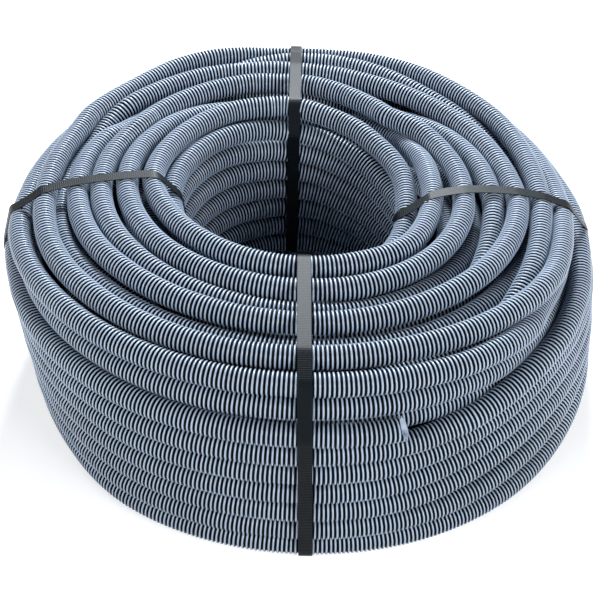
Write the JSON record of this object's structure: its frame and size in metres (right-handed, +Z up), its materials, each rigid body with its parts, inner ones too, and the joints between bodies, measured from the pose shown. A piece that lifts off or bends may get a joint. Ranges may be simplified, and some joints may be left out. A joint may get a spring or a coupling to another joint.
{
  "type": "coil of ribbed hose",
  "caption": "Long ribbed grey plastic hose wound into an upright coil round an open bore, tied by flat black straps round its section, with one cut end showing at the front.",
  "frame": {"origin": "centre of the coil's underside, on the plane of the strap undersides", "axes": "+Z up along the coil's axis; -Y is the front, where the hose's cut outer end lies; +X is to its right"},
  "size_m": [0.644, 0.6459, 0.2387],
  "materials": {
    "hose": "satin blue-grey polypropylene with fine ribs",
    "strap": "embossed black polypropylene band"
  },
  "bodies": {
    "root": {"hose_core": "hose", "hose_turns": "hose", "hose_outer_end": "hose", "strap_front": "strap", "strap_right": "strap", "strap_back": "strap", "strap_left": "strap"}
  },
  "joints": []
}
